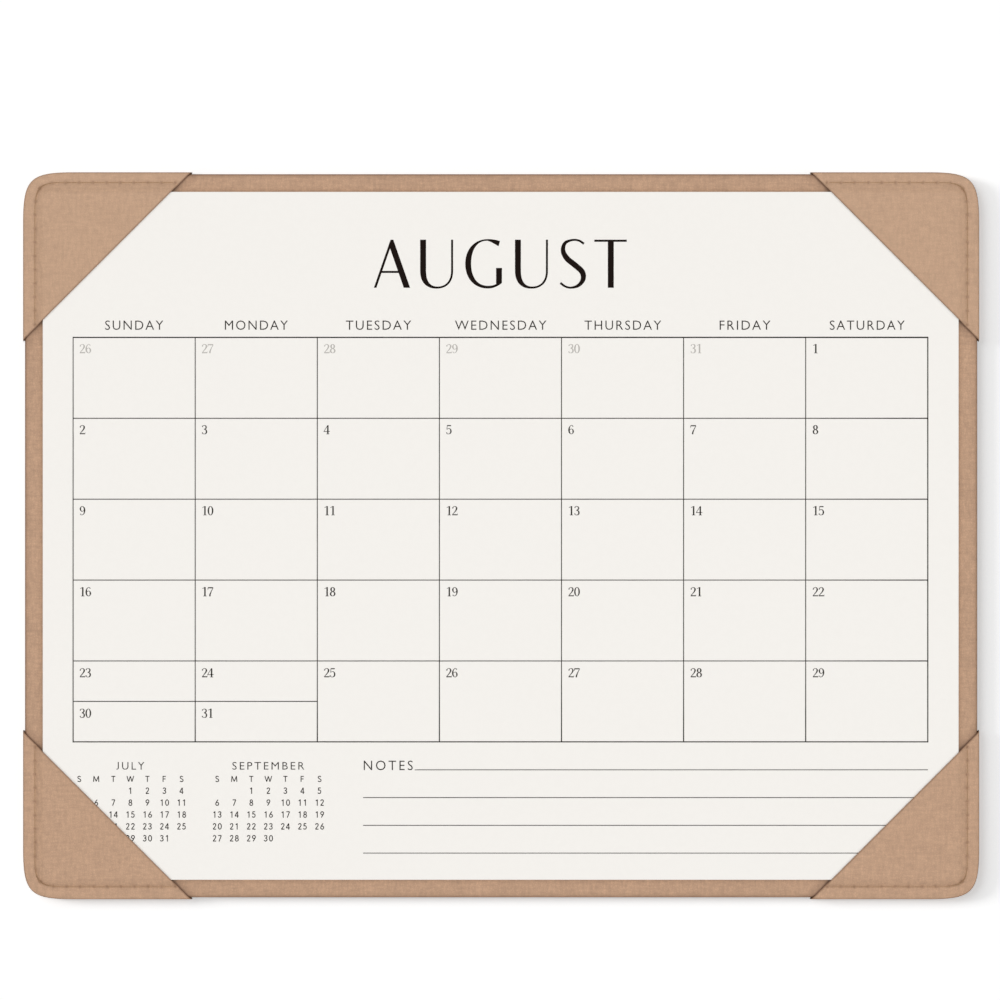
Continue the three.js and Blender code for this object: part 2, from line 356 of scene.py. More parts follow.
def mesh_of(name, bm):
    """The mesh of a finished bmesh, with its faces turned outwards."""
    bmesh.ops.recalc_face_normals(bm, faces=bm.faces[:])
    mesh = bpy.data.meshes.new(name)
    bm.to_mesh(mesh)
    bm.free()
    return mesh


def vertex_rows(mesh):
    """Places and normals of a mesh's vertices, as rows of x, y, z."""
    rows = []
    for source, name in ((mesh.vertices, "co"), (mesh.vertex_normals, "vector")):
        values = np.zeros(len(source) * 3)
        source.foreach_get(name, values)
        rows.append(values.reshape(-1, 3))
    return rows


def smoothstep(x):
    x = np.clip(x, 0, 1)
    return x * x * (3 - 2 * x)


def stain(mesh, *parts):
    """The leather's burnish and painted shade at each vertex: the strongest of its parts."""
    values = np.clip(np.max(parts, axis=0), 0, 1)
    attribute = mesh.attributes.new("burnish_and_shade", "FLOAT", "POINT")
    attribute.data.foreach_set("value", values.astype(np.float32))


def shoulder(heights, top, wall):
    """1 on the upper turn of a folded edge, and only the wall's share on the wall below it."""
    return wall + (1 - wall) * smoothstep((heights - top + 1.6 * MM) / (0.5 * MM))


def settle(piece, slot, *nodes):
    """Every piece is on the one body, and hides the CAD nodes that it stands for. Its slot is not used."""
    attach(piece, "root")
    if nodes:
        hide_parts(*nodes)
    return piece


# Outlines that follow the board's soft corners

CORNER_HANDLE = (4 - 8 * (1 - math.sqrt(0.5)) / CORNER_SOFTNESS) / 3


def corner_radius(inset):
    return max(CORNER_RADIUS - inset, INNER_CORNER_RADIUS)


def corner_path(inset, radius, straight, steps, straight_steps):
    """The path round the +X +Y corner, from the right side to the top side, as rows of x, y.
    It begins and ends at straight from the board's corner."""
    edge_x, edge_y = HALF_X - inset, HALF_Y - inset
    reach = CORNER_SOFTNESS * radius
    handle = reach * (1 - CORNER_HANDLE)
    knots = np.array([
        (edge_x, edge_y - reach),
        (edge_x, edge_y - handle),
        (edge_x - handle, edge_y),
        (edge_x - reach, edge_y),
    ])
    t = np.linspace(0, 1, steps + 1)[:, None]
    curve = ((1 - t) ** 3 * knots[0] + 3 * (1 - t) ** 2 * t * knots[1]
             + 3 * (1 - t) * t ** 2 * knots[2] + t ** 3 * knots[3])
    share = np.linspace(0, 1, straight_steps, endpoint=False)[:, None]
    start = np.array((edge_x, HALF_Y - straight))
    end = np.array((HALF_X - straight, edge_y))
    first = start + (knots[0] - start) * share
    last = end + (knots[3] - end) * share
    return np.vstack([first, curve, last[::-1]])


def quarter(inset, z, radius, start, end, steps):
    """Points of a fold in a section: inset and height, over an angle given in quarter turns."""
    angles = np.linspace(start, end, steps + 1) * math.pi / 2
    return [(inset - radius * math.cos(a), z + radius * math.sin(a)) for a in angles]


# The pockets

CORNER_STEPS = 40
STRAIGHT_STEPS = 120
PATH_REACH = POCKET_LEG + 6 * MM
CENTRE_INSET = POCKET_LEG / 2 + 2 * MM
SLOPE_END = MARGIN - PAD_CLEARANCE
SLOPE_START = SLOPE_END - SLOPE_RUN
FACE_SLOPE_START = 3.6 * MM
FACE_SLOPE_END = 9.2 * MM
FLAP_EDGE = 0.1 * MM
UPPER_SEAM_SHIFT = 0.7 * MM
LOWER_SEAM_SHIFT = -0.3 * MM
SEAM_BAND = 2.2 * MM
GROOVE_DEPTH = 0.17 * MM
GROOVE_HALF_WIDTH = 0.7 * MM
HOLE_DEPTH = 0.26 * MM
HOLE_HALF_WIDTH = 0.55 * MM
PUFF = 0.05 * MM
PUFF_GAP = 1.5 * MM
PUFF_HALF_WIDTH = 0.6 * MM
WAVE_SIZE = 13 * MM
WAVE_HEIGHT = 0.05 * MM
MOUTH_LIFT = 0.3 * MM
MOUTH_LIFT_RUN = 1.7 * MM
MOUTH_SPLAY = 0.5 * MM
MOUTH_SPLAY_RUN = 6 * MM
CUT_ROUNDING = 0.12 * MM
CUT_ROUNDING_RUN = 0.25 * MM
CUT_STAIN_RUN = 0.6 * MM


def slope(inset, start, end, low, high):
    return low + (high - low) * float(smoothstep((inset - start) / (end - start)))


def face_height(inset):
    """The height of a pocket's face: level over the board's edge, then up to the pad."""
    return slope(inset, FACE_SLOPE_START, FACE_SLOPE_END, RIM, POCKET_TOP)


def face_radius(inset):
    """The corner radius of a line on a pocket's face, tighter and tighter up its slope."""
    if inset <= FACE_SLOPE_START:
        return corner_radius(inset)
    share = min((inset - FACE_SLOPE_START) / (FACE_SLOPE_END - FACE_SLOPE_START), 1)
    return (1 - share) * corner_radius(FACE_SLOPE_START) + share * CREASE_CORNER_RADIUS


def pocket_section():
    """Inset, height and corner radius of each line of a pocket's section, right round the leather:
    first the hidden inner face from the middle outwards, then the flap, then the face. Then how
    many of the lines are on the inner face."""
    inner_high = POCKET_TOP - LEATHER
    fold_inset = POCKET_FOLD_RADIUS - WALL_GAP
    outer_fold = POCKET_FOLD_RADIUS + LEATHER
    seam = SEAM_INSET + np.linspace(1.5, -2.3, 31) * MM

    inner = [(d, inner_high) for d in (CENTRE_INSET, 26 * MM, 17 * MM, 12 * MM, 9.5 * MM)]
    inner += [(d, slope(d, SLOPE_START, SLOPE_END, COVER_TOP, inner_high))
              for d in np.linspace(SLOPE_END, SLOPE_START, 9)]
    inner += [(3.2 * MM, COVER_TOP), (1.6 * MM, COVER_TOP)]
    inner += quarter(fold_inset, COVER_TOP - POCKET_FOLD_RADIUS, POCKET_FOLD_RADIUS, 1, 0, 3)
    inner += quarter(fold_inset, LEATHER + POCKET_FOLD_RADIUS, POCKET_FOLD_RADIUS, 0, -1, 3)

    flap = [(d, LEATHER) for d in (4 * MM, 9 * MM, POCKET_FLAP - FLAP_EDGE)]
    flap += [(POCKET_FLAP, LEATHER - FLAP_EDGE), (POCKET_FLAP, FLAP_EDGE)]
    under = (POCKET_FLAP - FLAP_EDGE, 11 * MM, 8.5 * MM, 7 * MM, *seam, 1.5 * MM, 0.9 * MM)
    flap += [(d, 0.0) for d in under]

    face = quarter(fold_inset, outer_fold, outer_fold, -1, 0, 7)
    face += [(-PROUD, z) for z in np.linspace(outer_fold, RIM - outer_fold, 5)[1:-1]]
    face += quarter(fold_inset, RIM - outer_fold, outer_fold, 0, 1, 7)
    up_slope = np.linspace(SEAM_INSET + 1.65 * MM, FACE_SLOPE_END + 0.2 * MM, 18)
    level = [d * MM for d in (9.4, 10.5, 12, 14.5, 18, 22, 27, 32)]
    face += [(d, face_height(d)) for d in (0.9 * MM, 1.5 * MM, *seam[::-1], *up_slope, *level, CENTRE_INSET)]

    section = [(d, z, face_radius(d)) for d, z in inner]
    section += [(d, z, corner_radius(d)) for d, z in flap]
    section += [(d, z, face_radius(d)) for d, z in face]
    return section, len(inner)


def seam_line(shift):
    """The seam's path for the +X +Y corner, as rows of x, y, and its length at each. The shift
    moves the side along the top or bottom towards the board's edge."""
    straight = POCKET_LEG - SEAM_INSET - PROUD - SEAM_END_GAP
    radius = corner_radius(SEAM_INSET)
    path = corner_path(SEAM_INSET, radius, straight, CORNER_STEPS, STRAIGHT_STEPS)
    reach = CORNER_SOFTNESS * radius
    path[:, 1] += shift * smoothstep((path[:, 1] - (HALF_Y - SEAM_INSET - reach)) / reach)
    steps_along = np.linalg.norm(np.diff(path, axis=0), axis=1)
    return path, np.concatenate([[0], np.cumsum(steps_along)])


SEAMS = {1: seam_line(UPPER_SEAM_SHIFT), -1: seam_line(LOWER_SEAM_SHIFT)}
STITCHES = round(SEAMS[1][1][-1] / STITCH_PITCH)


def stitch_length(sign_y):
    return SEAMS[sign_y][1][-1] / STITCHES


def seam_place(points, sign_y):
    """Distance from the seam and the stitches up to there, for rows of x, y in the +X +Y corner."""
    path, lengths = SEAMS[sign_y]
    gaps = np.linalg.norm(points[:, None, :] - path[None, :, :], axis=2)
    nearest = gaps.argmin(axis=1)
    return gaps[np.arange(len(points)), nearest], lengths[nearest] / stitch_length(sign_y)


def pinched(stitches):
    """1 at each needle hole of the seam, falling to 0 between them."""
    hole = np.abs((stitches + 0.5) % 1 - 0.5) * STITCH_PITCH
    return np.exp(-(hole / HOLE_HALF_WIDTH) ** 2)


def tug(points, sign_y):
    """How far the seam pulls the leather in: a soft groove that is deepest at each needle hole,
    with the leather puffed up on both sides of it."""
    gap, stitches = seam_place(points, sign_y)
    nearness = np.exp(-(gap / GROOVE_HALF_WIDTH) ** 2)
    pinch = pinched(stitches)
    dimple = np.exp(-(gap / (1.3 * GROOVE_HALF_WIDTH)) ** 2) * pinch
    puffed = np.exp(-((gap - PUFF_GAP) / PUFF_HALF_WIDTH) ** 2) * (1 - 0.5 * pinch)
    return GROOVE_DEPTH * nearness + HOLE_DEPTH * dimple - PUFF * puffed


def pocket_points(sign_y, seed):
    """The pocket's points for the +X +Y corner before its mouth is cut, one line of the section
    after another, and the points in a line. The seam pulls them in, and the mouth lifts a little."""
    section, inner_count = pocket_section()
    rings = [corner_path(d, radius, PATH_REACH, CORNER_STEPS, STRAIGHT_STEPS) for d, _, radius in section]
    count = len(rings[0])
    heights = np.repeat([z for _, z, _ in section], count)
    points = np.column_stack([np.vstack(rings), heights])
    outer = np.repeat(np.arange(len(section)) >= inner_count, count)
    near_face = outer & (np.abs(heights - RIM) < SEAM_BAND)
    below = outer & (heights < 0.01 * MM)
    points[near_face, 2] -= tug(points[near_face, :2], sign_y)
    points[below, 2] += np.clip(tug(points[below, :2], sign_y), 0, None)
    for i in np.where(outer & (points[:, 2] > COVER_TOP))[0]:
        x, y = points[i, :2] / WAVE_SIZE
        points[i, 2] += WAVE_HEIGHT * (noise.noise(Vector((x, y, seed))) - 0.4)
    inset = np.minimum(HALF_X - points[:, 0], HALF_Y - points[:, 1])
    back = np.clip((points[:, 0] + points[:, 1]) / math.sqrt(2) - MOUTH, 0, None)
    window = smoothstep((inset - 0.8 * MM) / (3 * MM)) * smoothstep((9 * MM - inset) / (2.5 * MM))
    lift = MOUTH_LIFT * window * np.exp(-(back / MOUTH_LIFT_RUN) ** 2)
    points[:, 2] += np.where(points[:, 2] > COVER_TOP - 0.01 * MM, lift, 0)
    return points, count


def wrapped(points, count, flipped):
    """A skin through the lines of the section, the last joined to the first."""
    bm = bmesh.new()
    verts = [bm.verts.new(p) for p in points]
    for line in range(0, len(verts), count):
        for a in range(line, line + count - 1):
            b = (a + count) % len(verts)
            quad = [verts[a], verts[a + 1], verts[b + 1], verts[b]]
            bm.faces.new(quad[::-1] if flipped else quad)
    return bm


def cut_mouth(bm, sign_x, sign_y):
    """Cuts the pocket off at its mouth, rounds the cut edge, for which it has a few cuts more
    beside it, and splays the wall below. Faces of the raw edge's material close the mouth."""
    normal = Vector((sign_x, sign_y, 0)).normalized()
    for back in (0, 0.08 * MM, 0.2 * MM, 0.45 * MM, 0.9 * MM):
        bmesh.ops.bisect_plane(bm, geom=bm.verts[:] + bm.edges[:] + bm.faces[:], dist=1e-7,
                               plane_co=normal * (MOUTH + back), plane_no=normal, clear_inner=back == 0)
    bm.normal_update()
    for vert in bm.verts:
        back = vert.co.dot(normal) - MOUTH
        if back < CUT_ROUNDING_RUN:
            vert.co -= vert.normal * CUT_ROUNDING * (1 - back / CUT_ROUNDING_RUN) ** 2
        if back < MOUTH_SPLAY_RUN:
            low = float(smoothstep((COVER_TOP + 0.2 * MM - vert.co.z) / (1.2 * MM)))
            splay = MOUTH_SPLAY * low * (1 - back / MOUTH_SPLAY_RUN) ** 2
            on_side = HALF_X - abs(vert.co.x) < HALF_Y - abs(vert.co.y)
            vert.co -= Vector((0, sign_y * splay, 0)) if on_side else Vector((sign_x * splay, 0, 0))
    ends = [edge for edge in bm.edges if edge.is_boundary]
    for cap in bmesh.ops.holes_fill(bm, edges=ends, sides=0)["faces"]:
        cap.material_index = 1


def pocket_mesh(name, sign_x, sign_y, seed):
    points, count = pocket_points(sign_y, seed)
    bm = wrapped(points * (sign_x, sign_y, 1), count, sign_x * sign_y < 0)
    cut_mouth(bm, sign_x, sign_y)
    mesh = mesh_of(name, bm)
    smooth(mesh)
    co, normals = vertex_rows(mesh)
    back = np.abs(co[:, :2]).sum(axis=1) / math.sqrt(2) - MOUTH
    cut_edge = np.clip(1 - back / CUT_STAIN_RUN, 0, 1) ** 0.7
    # Painted shade with burnish on the upper turn of the pocket's fold, the part seen from above.
    turned = smoothstep((0.8 - normals[:, 2]) / 0.7) * shoulder(co[:, 2], RIM, 0.35)
    gap, stitches = seam_place(np.abs(co[:, :2]), sign_y)
    # Painted shade with burnish in the seam's groove and, most, in its needle holes.
    in_seam = np.exp(-(gap / GROOVE_HALF_WIDTH) ** 2) * (0.1 + 0.55 * pinched(stitches))
    stain(mesh, 0.8 * cut_edge, 0.95 * turned, in_seam)
    return mesh


def make_pockets():
    for seed, (place, (sign_x, sign_y)) in enumerate(CORNERS.items()):
        node = f"corner_pocket_{place}"
        mesh = pocket_mesh(f"pocket_{place}", sign_x, sign_y, seed * 3.7)
        piece = new_piece(f"pocket_{place}", mesh, [pocket_leathers[sign_y], raw_edge])
        settle(piece, "pocket_leather", node)


# Geometry Nodes trees

def new_tree(name, sizes):
    """A tree with named inputs for its geometry, its sizes and its material, and those inputs."""
    tree = bpy.data.node_groups.new(name, "GeometryNodeTree")
    face = tree.interface
    face.new_socket("Geometry", in_out="OUTPUT", socket_type="NodeSocketGeometry")
    face.new_socket("Geometry", in_out="INPUT", socket_type="NodeSocketGeometry")
    for label, value in sizes.items():
        kind = "NodeSocketInt" if isinstance(value, int) else "NodeSocketFloat"
        face.new_socket(label, in_out="INPUT", socket_type=kind).default_value = value
    face.new_socket("Material", in_out="INPUT", socket_type="NodeSocketMaterial")
    return tree, add(tree, "NodeGroupInput").outputs


def end_tree(tree, geometry, material):
    """The end that every tree has: instances made real, and the material set."""
    real = add(tree, "GeometryNodeRealizeInstances", {"Geometry": geometry})
    done = add(tree, "GeometryNodeSetMaterial", {"Geometry": real.outputs[0], "Material": material})
    add(tree, "NodeGroupOutput", {"Geometry": done.outputs[0]})


def thread_tree():
    """A thread of three twisted plies along a curve, which dips into a hole between two stitches."""
    tree, given = new_tree("sewn_thread", {
        "Stitch": STITCH_PITCH,
        "Radius": 0.2 * MM,
        "Crest": 0.0,
        "Dip": 0.0,
        "Ply Pitch": 1.1 * MM,
        "Step": 0.22 * MM,
    })
    line = add(tree, "GeometryNodeResampleCurve", {
        "Curve": given["Geometry"],
        "Length": given["Step"],
    }, mode="LENGTH")
    along = add(tree, "GeometryNodeSplineParameter").outputs["Length"]
    stitches = add(tree, "ShaderNodeMath", {0: along, 1: given["Stitch"]}, operation="DIVIDE")
    share = add(tree, "ShaderNodeMath", {0: stitches.outputs[0]}, operation="FRACT")
    rest = add(tree, "ShaderNodeMath", {0: 1.0, 1: share.outputs[0]}, operation="SUBTRACT")
    nearer = add(tree, "ShaderNodeMath", {0: share.outputs[0], 1: rest.outputs[0]}, operation="MINIMUM")
    height = add(tree, "ShaderNodeMapRange", {
        "Value": nearer.outputs[0],
        "From Min": 0.02,
        "From Max": 0.17,
        "To Min": given["Dip"],
        "To Max": given["Crest"],
    }, interpolation_type="SMOOTHSTEP")
    offset = add(tree, "ShaderNodeCombineXYZ", {"Z": height.outputs[0]})
    lifted = add(tree, "GeometryNodeSetPosition", {
        "Geometry": line.outputs[0],
        "Offset": offset.outputs[0],
    })
    turns = add(tree, "ShaderNodeMath", {0: along, 1: given["Ply Pitch"]}, operation="DIVIDE")
    angle = add(tree, "ShaderNodeMath", {0: turns.outputs[0], 1: 2 * math.pi / 3}, operation="MULTIPLY")
    twisted = add(tree, "GeometryNodeSetCurveTilt", {
        "Curve": lifted.outputs[0],
        "Tilt": angle.outputs[0],
    })
    waist = add(tree, "ShaderNodeMath", {0: given["Radius"], 1: 0.72}, operation="MULTIPLY")
    plies = add(tree, "GeometryNodeCurveStar", {
        "Points": 3,
        "Outer Radius": given["Radius"],
        "Inner Radius": waist.outputs[0],
    })
    cord = add(tree, "GeometryNodeCurveToMesh", {
        "Curve": twisted.outputs[0],
        "Profile Curve": plies.outputs[0],
        "Fill Caps": True,
    })
    soft = add(tree, "GeometryNodeSetShadeSmooth", {"Geometry": cord.outputs[0]})
    end_tree(tree, soft.outputs[0], given["Material"])
    return tree


def sheet_tree():
    """A stack of sheets, each a little out of line with the next and with a hair of air above."""
    tree, given = new_tree("stacked_sheets", {
        "Sheets": SHEETS,
        "Width": 0.4,
        "Height": 0.3,
        "Thickness": 0.1 * MM,
        "Bottom": 0.0,
        "Stray": 0.12 * MM,
    })
    inner = add(tree, "ShaderNodeMath", {0: given["Stray"], 1: 2.0}, operation="MULTIPLY")
    width = add(tree, "ShaderNodeMath", {0: given["Width"], 1: inner.outputs[0]}, operation="SUBTRACT")
    height = add(tree, "ShaderNodeMath", {0: given["Height"], 1: inner.outputs[0]}, operation="SUBTRACT")
    thin = add(tree, "ShaderNodeMath", {0: given["Thickness"], 1: 0.94}, operation="MULTIPLY")
    size = add(tree, "ShaderNodeCombineXYZ", {
        "X": width.outputs[0],
        "Y": height.outputs[0],
        "Z": thin.outputs[0],
    })
    one = add(tree, "GeometryNodeMeshCube", {"Size": size.outputs[0]})
    half = add(tree, "ShaderNodeMath", {0: given["Thickness"], 1: 0.5}, operation="MULTIPLY")
    first = add(tree, "ShaderNodeMath", {0: given["Bottom"], 1: half.outputs[0]}, operation="ADD")
    start = add(tree, "ShaderNodeCombineXYZ", {"Z": first.outputs[0]})
    rise = add(tree, "ShaderNodeCombineXYZ", {"Z": given["Thickness"]})
    stack = add(tree, "GeometryNodeMeshLine", {
        "Count": given["Sheets"],
        "Start Location": start.outputs[0],
        "Offset": rise.outputs[0],
    })
    back = add(tree, "ShaderNodeMath", {0: 0.0, 1: given["Stray"]}, operation="SUBTRACT")
    low = add(tree, "ShaderNodeCombineXYZ", {"X": back.outputs[0], "Y": back.outputs[0]})
    high = add(tree, "ShaderNodeCombineXYZ", {"X": given["Stray"], "Y": given["Stray"]})
    stray = add(tree, "FunctionNodeRandomValue", {
        0: low.outputs[0],
        1: high.outputs[0],
        "Seed": 4,
    }, data_type="FLOAT_VECTOR")
    shifted = add(tree, "GeometryNodeSetPosition", {
        "Geometry": stack.outputs[0],
        "Offset": stray.outputs[0],
    })
    sheets = add(tree, "GeometryNodeInstanceOnPoints", {
        "Points": shifted.outputs[0],
        "Instance": one.outputs[0],
    })
    end_tree(tree, sheets.outputs[0], given["Material"])
    return tree


def curve_object(name, points):
    data = bpy.data.curves.new(name, "CURVE")
    data.dimensions = "3D"
    line = data.splines.new("POLY")
    line.points.add(len(points) - 1)
    for point, place in zip(line.points, points):
        point.co = (*place, 1)
    source = bpy.data.objects.new(name, data)
    bpy.context.scene.collection.objects.link(source)
    return source


def grown(source, tree, **values):
    """A plain mesh of what a Geometry Nodes tree makes of the source, which is then removed."""
    modifier = source.modifiers.new("nodes", "NODES")
    modifier.node_group = tree
    for item in tree.interface.items_tree:
        if item.in_out == "INPUT" and item.name in values:
            modifier[item.identifier] = values[item.name]
    source.update_tag()
    graph = bpy.context.evaluated_depsgraph_get()
    graph.update()
    mesh = bpy.data.meshes.new_from_object(source.evaluated_get(graph))
    source.modifiers.remove(modifier)
    bpy.data.objects.remove(source)
    return mesh


# The threads

# The height of the middle of a stitch, and that of its dip into a hole, from the leather's face
THREAD_LEVELS = {"needle": (-0.22 * MM, -0.54 * MM), "bobbin": (0.22 * MM, 0.42 * MM)}


def make_threads():
    tree = thread_tree()
    for place, (sign_x, sign_y) in CORNERS.items():
        for side, (crest, dip) in THREAD_LEVELS.items():
            path = []
            for x, y in SEAMS[sign_y][0]:
                face = face_height(min(HALF_X - x, HALF_Y - y))
                path.append((x * sign_x, y * sign_y, face if side == "needle" else 0.0))
            source = curve_object(f"{side}_path_{place}", path)
            mesh = grown(source, tree, Crest=crest, Dip=dip, Stitch=stitch_length(sign_y), Material=thread)
            piece = new_piece(f"{side}_stitches_{place}", mesh, [thread])
            settle(piece, "sewing_thread", f"{side}_thread_{place}")


# The board's cover

def ring_round_board(inset, steps, side_steps):
    """The whole outline at an inset, anticlockwise, as rows of x, y."""
    radius = corner_radius(inset)
    reach = CORNER_SOFTNESS * radius
    points = []
    for sign_x, sign_y in CORNERS.values():
        path = corner_path(inset, radius, inset + reach + 1 * MM, steps, 1)[1:-1]
        path = path * (sign_x, sign_y)
        points.append(path if sign_x * sign_y > 0 else path[::-1])
    joined = []
    for i, path in enumerate(points):
        following = points[(i + 1) % len(points)][0]
        joined.append(path)
        share = np.linspace(0, 1, side_steps + 1, endpoint=False)[1:, None]
        joined.append(path[-1] + (following - path[-1]) * share)
    return np.vstack(joined)


def loft_mesh(name, section, steps=28, side_steps=40):
    """A closed solid whose section of insets and heights runs round the board."""
    rings = [ring_round_board(d, steps, side_steps) for d, _ in section]
    count = len(rings[0])
    bm = bmesh.new()
    verts = []
    for ring, (_, z) in zip(rings, section):
        verts += [bm.verts.new((x, y, z)) for x, y in ring]
    for i in range(len(section) - 1):
        for j in range(count):
            k = (j + 1) % count
            a, b = i * count, (i + 1) * count
            bm.faces.new((verts[a + j], verts[a + k], verts[b + k], verts[b + j]))
    bm.faces.new(verts[:count][::-1])
    bm.faces.new(verts[-count:])
    return mesh_of(name, bm)


def make_cover():
    board_bottom = COVER_BOTTOM + LEATHER
    board_top = COVER_TOP - LEATHER
    lip = 0.12 * MM
    section = [
        (LEATHER, board_top),
        (LEATHER, board_bottom),
        (COVER_TURN_IN, board_bottom),
        (COVER_TURN_IN, COVER_BOTTOM + lip),
        (COVER_TURN_IN - lip, COVER_BOTTOM),
    ]
    section += quarter(COVER_EDGE_RADIUS, COVER_BOTTOM + COVER_EDGE_RADIUS, COVER_EDGE_RADIUS, -1, 0, 8)
    section += quarter(COVER_EDGE_RADIUS, COVER_TOP - COVER_EDGE_RADIUS, COVER_EDGE_RADIUS, 0, 1, 8)
    section += [(d * MM, COVER_TOP) for d in (1.5, 1.9, 2.4, 3, 4, 6, 7, 8, 9.5, 14)]
    mesh = loft_mesh("board_cover", section)
    smooth(mesh)
    co = vertex_rows(mesh)[0]
    # Painted shade with burnish on the upper turn of the board's folded edge.
    outward = np.maximum(np.abs(co[:, 0]) - HALF_X, np.abs(co[:, 1]) - HALF_Y)
    folded = np.exp(outward / (0.8 * MM)) * shoulder(co[:, 2], COVER_TOP, 0.45)
    stain(mesh, 0.65 * folded)
    settle(new_piece("board_cover", mesh, [cover_leather]), "tan_leather", "leather_cover")


# The pad: its sheets are stacked one on another, none quite under the next

SHEETS = 12
PAD_SHIFT = -0.2 * MM
PAD_TRIM = 0.6 * MM


def make_pad():
    size = pages_high - pages_low
    size.x -= PAD_TRIM
    source = curve_object("pad_path", [(0, 0, 0), (0, 0, 0.001)])
    mesh = grown(source, sheet_tree(), Sheets=SHEETS, Width=size.x, Height=size.y,
                 Thickness=size.z / SHEETS, Bottom=pages_low.z, Material=paper)
    top = pages_high.z
    for vert in mesh.vertices:
        if vert.co.z > top - 0.5 * size.z / SHEETS:
            vert.co.x = math.copysign(size.x / 2, vert.co.x)
            vert.co.y = math.copysign(size.y / 2, vert.co.y)
            vert.co.z = top
        vert.co.x += PAD_SHIFT
    pad = new_piece("sheet_pad", mesh, [paper, paper_edge])
    for polygon in mesh.polygons:
        polygon.material_index = 0 if abs(polygon.normal.z) > 0.5 else 1
    settle(pad, "cream_paper", "calendar_pages")


# Print: outlines, flat strokes whose width follows the pen, and plain words

INK = 0.05 * MM
CURVE_STEPS = 7
PRINT_SHIFT = Vector((-0.3, 0.31, 0)) * MM
GRID_LINE = 0.24 * MM
HEAD_LINE = 0.36 * MM
GRID_LEFT = grid_low.x + GRID_LINE / 2 + PRINT_SHIFT.x
GRID_TOP = grid_high.y - HEAD_LINE / 2 + PRINT_SHIFT.y
GRID_BOTTOM = grid_low.y + GRID_LINE / 2 + PRINT_SHIFT.y


def ink_level(stroke):
    """The ink's height: each stroke of a letter a hair lower, so that no two faces coincide."""
    return PAD_TOP + INK * (1 - 0.06 * stroke)


def spline(points):
    """A smooth line through rows of x, y and width."""
    p = np.array(points, float)
    if len(p) < 3:
        return p
    padded = np.vstack([2 * p[0] - p[1], p, 2 * p[-1] - p[-2]])
    line = []
    for i in range(1, len(padded) - 2):
        a, b, c, d = padded[i - 1:i + 3]
        for t in np.linspace(0, 1, CURVE_STEPS, endpoint=False):
            line.append(0.5 * (2 * b + (c - a) * t + (2 * a - 5 * b + 4 * c - d) * t ** 2
                               + (3 * b - a - 3 * c + d) * t ** 3))
    return np.vstack([line, padded[-2]])


def oval(x, y, rx, ry, thick, thin):
    """A closed stroke, thick at its sides and thin above and below."""
    angles = np.linspace(0, 2 * math.pi, 40, endpoint=False)
    width = thin + (thick - thin) * np.abs(np.cos(angles)) ** 1.6
    return np.stack([x + rx * np.cos(angles), y + ry * np.sin(angles), width], axis=1)


def outline(commands):
    """The points of a closed outline: two numbers are a corner, six a cubic curve to one."""
    points = []
    for command in commands:
        if len(command) == 2:
            points.append(np.array(command))
            continue
        a, (b, c, d) = points[-1], np.array(command).reshape(3, 2)
        for t in np.linspace(0, 1, 13)[1:]:
            points.append((1 - t) ** 3 * a + 3 * (1 - t) ** 2 * t * b
                          + 3 * (1 - t) * t ** 2 * c + t ** 3 * d)
    return np.array(points)


def add_outline(bm, points, place, scale, level):
    """A filled outline, as a thin closed solid lying on the paper."""
    points = points * scale + place
    top = [bm.verts.new((*p, level)) for p in points]
    foot = [bm.verts.new((*p, PAD_TOP)) for p in points]
    bm.faces.new(top)
    bm.faces.new(foot[::-1])
    for i in range(len(top)):
        k = (i + 1) % len(top)
        bm.faces.new((top[i], foot[i], foot[k], top[k]))


def add_stroke(bm, line, closed, place, scale, level):
    """One flat stroke, as a thin closed solid lying on the paper."""
    xy = line[:, :2]
    ahead = np.roll(xy, -1, axis=0) - xy
    behind = xy - np.roll(xy, 1, axis=0)
    if not closed:
        ahead[-1] = behind[-1]
        behind[0] = ahead[0]
    ahead /= np.linalg.norm(ahead, axis=1)[:, None]
    behind /= np.linalg.norm(behind, axis=1)[:, None]
    heading = (ahead + behind) / np.linalg.norm(ahead + behind, axis=1)[:, None]
    side = np.stack([-heading[:, 1], heading[:, 0]], axis=1) * line[:, 2:3] / 2
    left, right = (xy + side) * scale + place, (xy - side) * scale + place
    corners = [[bm.verts.new((*p, z)) for p in edge]
               for edge, z in ((left, level), (right, level), (right, PAD_TOP), (left, PAD_TOP))]
    count = len(line)
    for i in range(count if closed else count - 1):
        k = (i + 1) % count
        for a, b in ((0, 1), (1, 2), (2, 3), (3, 0)):
            bm.faces.new((corners[a][i], corners[b][i], corners[b][k], corners[a][k]))
    if not closed:
        bm.faces.new([edge[0] for edge in corners][::-1])
        bm.faces.new([edge[-1] for edge in corners])


def ink_piece(name, bm, ink, *nodes):
    return settle(new_piece(name, mesh_of(name, bm), [ink]), "dark_ink", *nodes)


LINE_GAIN = 0.07 * MM
BORDER_GAIN = 0.12 * MM
RULE_GAIN = 0.05 * MM


